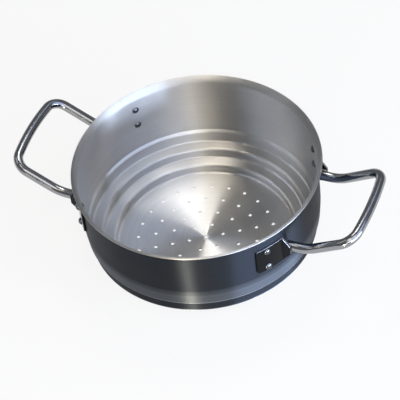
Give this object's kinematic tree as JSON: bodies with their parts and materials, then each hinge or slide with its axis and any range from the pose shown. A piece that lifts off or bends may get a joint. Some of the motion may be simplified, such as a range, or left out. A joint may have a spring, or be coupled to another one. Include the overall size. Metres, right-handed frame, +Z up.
{
  "type": "steamer insert",
  "caption": "Round steamer insert with a perforated floor, a stepped foot that seats in pans of several sizes, a flared lip and riveted wire-loop handles.",
  "frame": {"origin": "middle of the underside of the floor, which the insert stands on", "axes": "+Z up along the bowl's axis, +X from the bowl's middle towards the right handle, -Y the front"},
  "size_m": [0.3194, 0.2138, 0.0957],
  "materials": {
    "bowl_steel": "spun, satin inside and brighter outside",
    "rod_steel": "polished",
    "bracket_steel": "polished",
    "weld_steel": "as welded, then brushed",
    "rivet_steel": "satin"
  },
  "bodies": {
    "root": {"steamer_bowl": "bowl_steel", "handle_rod_right": "rod_steel", "handle_rod_left": "rod_steel", "bracket_right_front": "bracket_steel", "weld_right_front": "weld_steel", "rivet_right_front_upper": "rivet_steel", "rivet_right_front_lower": "rivet_steel", "bracket_right_rear": "bracket_steel", "weld_right_rear": "weld_steel", "rivet_right_rear_upper": "rivet_steel", "rivet_right_rear_lower": "rivet_steel", "bracket_left_front": "bracket_steel", "weld_left_front": "weld_steel", "rivet_left_front_upper": "rivet_steel", "rivet_left_front_lower": "rivet_steel", "bracket_left_rear": "bracket_steel", "weld_left_rear": "weld_steel", "rivet_left_rear_upper": "rivet_steel", "rivet_left_rear_lower": "rivet_steel"}
  },
  "joints": []
}
